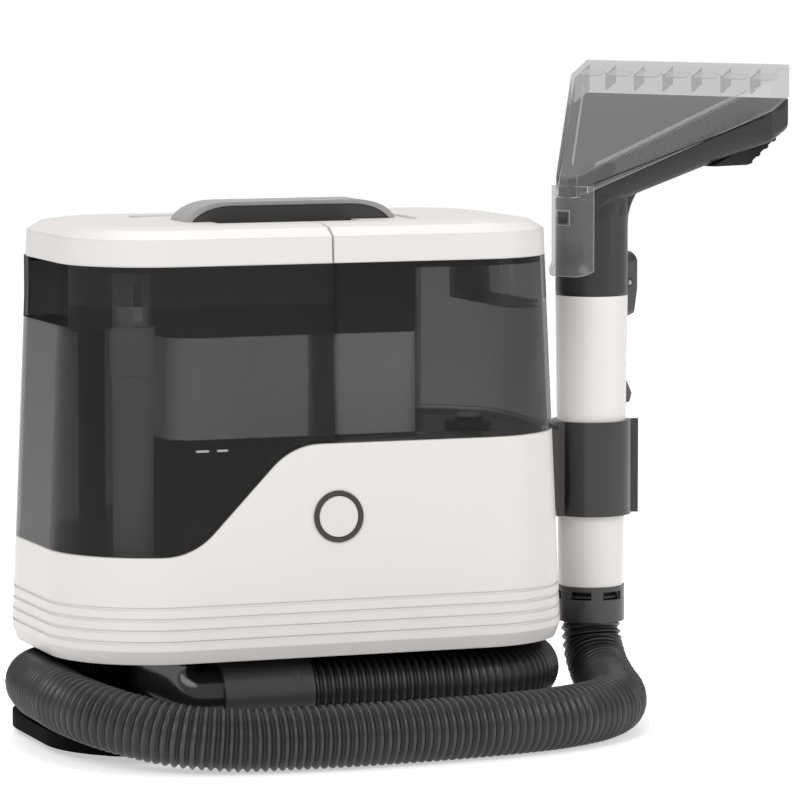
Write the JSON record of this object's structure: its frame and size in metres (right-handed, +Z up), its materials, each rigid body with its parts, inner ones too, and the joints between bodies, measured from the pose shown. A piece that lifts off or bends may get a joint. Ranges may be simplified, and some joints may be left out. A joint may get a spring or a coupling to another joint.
{
  "type": "spot extractor",
  "caption": "Portable spot extractor: grooved housing, smoked clean and dirty tanks, arched handle, ribbed hose wound under the body, clipped wand with a flared nozzle.",
  "frame": {"origin": "middle of the footprint of everything except the hose, on the floor", "axes": "+X along the machine to the end where the wand stands, +Y to the back, +Z up"},
  "size_m": [0.4978, 0.2895, 0.3962],
  "materials": {
    "white_plastic": "satin",
    "black_plastic": "satin",
    "gloss_black": "gloss",
    "dark_plastic": "satin",
    "grey_plastic": "satin",
    "pale_plastic": "satin",
    "smoked_plastic": "gloss",
    "clear_plastic": "gloss",
    "soft_rubber": "matt",
    "hose_plastic": "satin",
    "steel": "brushed",
    "board": "satin"
  },
  "bodies": {
    "machine": {"housing": "white_plastic", "well_trim": "white_plastic", "exhaust_grille": "white_plastic", "base_plate": "black_plastic", "base_column": "black_plastic", "under_pan": "black_plastic", "motor_box": "black_plastic", "button_switch": "black_plastic", "motor_mounts": "black_plastic", "fan_housing": "black_plastic", "valve_socket": "black_plastic", "suction_duct": "black_plastic", "air_duct": "black_plastic", "cord_inlet": "black_plastic", "water_pump": "black_plastic", "hose_elbow": "gloss_black", "hand_well": "dark_plastic", "handle_grip": "dark_plastic", "handle_cap": "dark_plastic", "button_ring": "dark_plastic", "elbow_cuff": "dark_plastic", "hose_cuff": "dark_plastic", "wand_bracket": "dark_plastic", "wand_clip": "dark_plastic", "tower_cover": "grey_plastic", "feed_tube": "clear_plastic", "solution_line": "clear_plastic", "rubber_feet": "soft_rubber", "hose": "hose_plastic", "pan_screws": "steel", "handle_screws": "steel", "suction_motor": "steel", "clip_screws": "steel", "control_board": "board"},
    "power_button": {"power_button": "white_plastic"},
    "fan": {"motor_shaft": "steel", "fan_wheel": "grey_plastic"},
    "dirty_tank": {"dirty_tank": "smoked_plastic", "riser_tube": "black_plastic", "standpipe": "dark_plastic", "float_cage": "clear_plastic"},
    "float": {"float": "pale_plastic"},
    "dirty_lid": {"dirty_lid": "white_plastic", "dirty_lid_seal": "soft_rubber"},
    "clean_tank": {"clean_tank": "smoked_plastic", "valve_seat": "black_plastic"},
    "valve_plunger": {"valve_plunger": "grey_plastic"},
    "clean_lid": {"clean_lid": "white_plastic", "clean_lid_seal": "soft_rubber"},
    "wand": {"wand_tube": "white_plastic", "spray_valve": "black_plastic", "spray_line": "clear_plastic", "trigger_pin": "steel"},
    "trigger": {"trigger": "gloss_black"},
    "nozzle": {"nozzle_body": "dark_plastic", "spray_jet": "black_plastic", "brush_pad": "soft_rubber", "latch_pin": "steel"},
    "latch": {"latch": "gloss_black"},
    "nozzle_cover": {"nozzle_cover": "clear_plastic"}
  },
  "joints": [
    {"name": "button_press", "type": "slide", "parent": "machine", "child": "power_button", "axis": [0, 0.999, -0.044], "range_m": [0, 0.002], "stiffness_N_per_m": 400},
    {"name": "fan_spin", "type": "hinge", "parent": "machine", "child": "fan", "pos_m": [-0.08982, -0.01429, 0.17], "axis": [0, 0, 1], "continuous": true},
    {"name": "dirty_tank_lift", "type": "slide", "parent": "machine", "child": "dirty_tank", "axis": [0, 0, 1], "range_m": [0, 0.235]},
    {"name": "float_rise", "type": "slide", "parent": "dirty_tank", "child": "float", "axis": [0, 0, 1], "range_m": [0, 0.012]},
    {"name": "dirty_lid_lift", "type": "slide", "parent": "dirty_tank", "child": "dirty_lid", "axis": [0, 0, 1], "range_m": [0, 0.05]},
    {"name": "clean_tank_lift", "type": "slide", "parent": "machine", "child": "clean_tank", "axis": [0, 0, 1], "range_m": [0, 0.13]},
    {"name": "valve_lift", "type": "slide", "parent": "clean_tank", "child": "valve_plunger", "axis": [0, 0, 1], "range_m": [0, 0.003]},
    {"name": "clean_lid_lift", "type": "slide", "parent": "clean_tank", "child": "clean_lid", "axis": [0, 0, 1], "range_m": [0, 0.05]},
    {"name": "wand_lift", "type": "slide", "parent": "machine", "child": "wand", "axis": [0, 0, 1], "range_m": [0, 0.11]},
    {"name": "trigger_press", "type": "hinge", "parent": "wand", "child": "trigger", "pos_m": [0.13663, 0.00482, 0.209], "axis": [-0.4848, 0.8746, 0], "range_deg": [0, 8], "stiffness_Nm_per_rad": 0.6},
    {"name": "nozzle_lift", "type": "slide", "parent": "wand", "child": "nozzle", "axis": [0, 0, 1], "range_m": [0, 0.035]},
    {"name": "latch_press", "type": "hinge", "parent": "nozzle", "child": "latch", "pos_m": [0.14467, 0.00928, 0.262], "axis": [0.4848, -0.8746, 0], "range_deg": [0, 5], "stiffness_Nm_per_rad": 0.5},
    {"name": "cover_lift", "type": "slide", "parent": "nozzle", "child": "nozzle_cover", "axis": [0, 0, 1], "range_m": [0, 0.03]}
  ]
}
